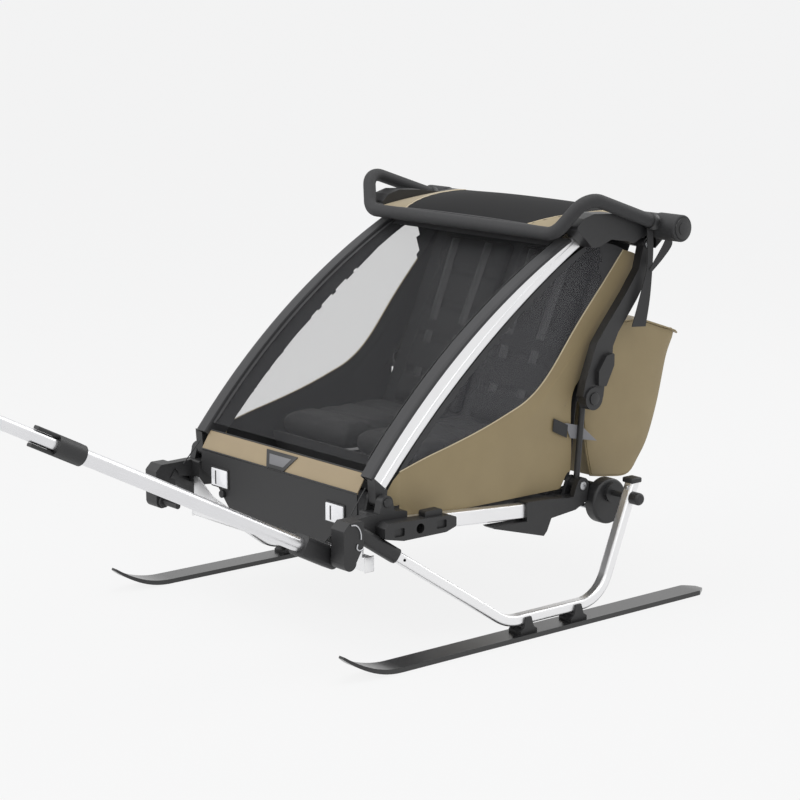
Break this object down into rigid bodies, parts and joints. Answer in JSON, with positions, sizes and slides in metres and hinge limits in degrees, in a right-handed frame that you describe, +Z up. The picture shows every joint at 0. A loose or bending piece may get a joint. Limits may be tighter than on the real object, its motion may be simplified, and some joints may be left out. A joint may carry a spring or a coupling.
{
  "type": "child trailer on skis",
  "caption": "Folding fabric child trailer on ski frames, with a curved mesh front, a push bar, a rear bag and one long tow pole.",
  "frame": {"origin": "middle of the whole trailer's footprint, on the ground under the skis", "axes": "+Z up, -Y forward along the tow pole, +X towards the trailer's left side"},
  "size_m": [0.864, 2.2516, 0.8785],
  "materials": {
    "satin_aluminium": "satin anodised",
    "bright_aluminium": "bright anodised",
    "black_plastic": "fine grained",
    "black_panel": "smooth coated",
    "ski_black": "semi gloss",
    "black_foam": "foam grip",
    "tan_fabric": "fine woven, coated",
    "dark_fabric": "fine woven",
    "side_window_fabric": "dark tinted",
    "window_mesh": "fine see-through mesh",
    "black_webbing": "woven webbing"
  },
  "bodies": {
    "chassis": {"front_crossbar": "satin_aluminium", "rear_axle": "black_plastic", "floor_panel": "dark_fabric", "seat_cushion": "dark_fabric", "seat_back": "dark_fabric", "front_strip": "tan_fabric", "lower_front_panel": "black_panel", "rear_panel": "dark_fabric", "cargo_bag": "tan_fabric", "bag_lid": "tan_fabric", "ski_left": "ski_black", "ski_right": "ski_black", "ski_frame_left": "satin_aluminium", "ski_frame_right": "satin_aluminium", "saddle_front_left": "black_plastic", "saddle_front_right": "black_plastic", "saddle_rear_left": "black_plastic", "saddle_rear_right": "black_plastic", "leg_sleeve_left": "black_plastic", "leg_sleeve_right": "black_plastic", "hub_left": "black_plastic", "hub_right": "black_plastic", "side_rail_left": "satin_aluminium", "side_rail_right": "satin_aluminium", "front_corner_left": "black_plastic", "front_corner_right": "black_plastic", "side_wing_left": "black_plastic", "side_wing_right": "black_plastic", "rear_corner_left": "black_plastic", "rear_corner_right": "black_plastic", "tow_clamp_left": "black_plastic", "tow_clamp_right": "black_plastic", "side_panel_left": "tan_fabric", "side_panel_right": "tan_fabric", "side_window_left": "side_window_fabric", "side_window_right": "side_window_fabric"},
    "upper_frame": {"pillar_left": "satin_aluminium", "pillar_right": "satin_aluminium", "pillar_foot_left": "black_plastic", "pillar_foot_right": "black_plastic", "top_joint_left": "black_plastic", "top_joint_right": "black_plastic", "roof": "dark_fabric", "front_window": "window_mesh", "wrist_strap": "black_webbing"},
    "uprights_upper": {"upright_upper_left": "black_plastic", "upright_upper_right": "black_plastic"},
    "uprights_lower": {"upright_lower_left": "black_plastic", "upright_lower_right": "black_plastic"},
    "push_bar": {"push_bar": "black_foam"},
    "tow_pole": {"pole_block": "black_plastic", "pole_rear_tube": "bright_aluminium", "pole_front_tube": "bright_aluminium", "pole_collar": "black_plastic"}
  },
  "joints": [
    {"name": "fold", "type": "hinge", "parent": "chassis", "child": "upper_frame", "pos_m": [0, 0.28785, 0.305], "axis": [-1, 0, 0], "range_deg": [0, 24], "deforming": ["side_panel_left", "side_panel_right", "side_window_left", "side_window_right", "rear_panel", "cargo_bag", "bag_lid", "seat_back"]},
    {"name": "upright_upper_turn", "type": "hinge", "parent": "upper_frame", "child": "uprights_upper", "pos_m": [0, 0.97785, 0.75], "axis": [-1, 0, 0], "range_deg": [0, 41]},
    {"name": "upright_lower_turn", "type": "hinge", "parent": "chassis", "child": "uprights_lower", "pos_m": [0, 0.80785, 0.26], "axis": [-1, 0, 0], "range_deg": [-22, 0]},
    {"name": "push_bar_turn", "type": "hinge", "parent": "upper_frame", "child": "push_bar", "pos_m": [0, 1.00485, 0.786], "axis": [-1, 0, 0], "range_deg": [0, 170]},
    {"name": "tow_pole_lift", "type": "hinge", "parent": "chassis", "child": "tow_pole", "pos_m": [0, 0.18285, 0.206], "axis": [-1, 0, 0], "range_deg": [-33, 33]}
  ],
  "couplings": [
    {"joint": "upright_upper_turn", "follows": "fold", "ratio": 1.683},
    {"joint": "upright_lower_turn", "follows": "fold", "ratio": -0.9}
  ]
}
